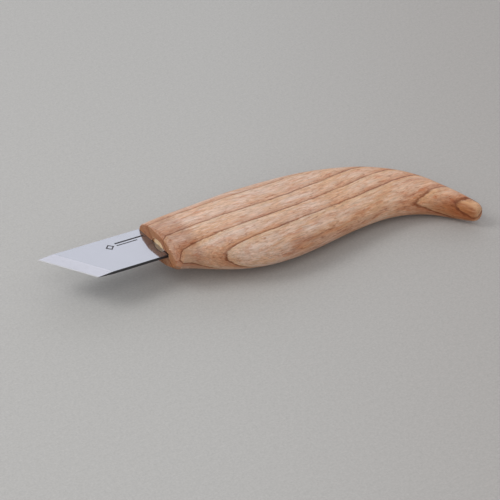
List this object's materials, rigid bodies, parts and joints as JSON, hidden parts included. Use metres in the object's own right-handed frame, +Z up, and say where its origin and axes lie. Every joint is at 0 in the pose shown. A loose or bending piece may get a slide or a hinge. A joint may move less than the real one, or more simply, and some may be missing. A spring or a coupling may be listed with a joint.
{
  "type": "whittling knife",
  "caption": "Whittling knife with a flat skew-edged steel blade, its hidden tang glued into a curved solid ash handle that swells for the palm and hooks down to a slim tail.",
  "frame": {"origin": "middle of the knife's box on the surface it lies on", "axes": "+X from the blade's tip towards the handle's tail, +Y towards the blade's spine, +Z up from the surface, about 3.5 degrees from square to the blade's flat"},
  "size_m": [0.1562, 0.056, 0.0185],
  "materials": {
    "polished_steel": "satin",
    "oiled_ash": "satin",
    "cured_resin": "gloss"
  },
  "bodies": {
    "root": {"blade": "polished_steel", "handle": "oiled_ash", "tang_resin": "cured_resin"}
  },
  "joints": []
}
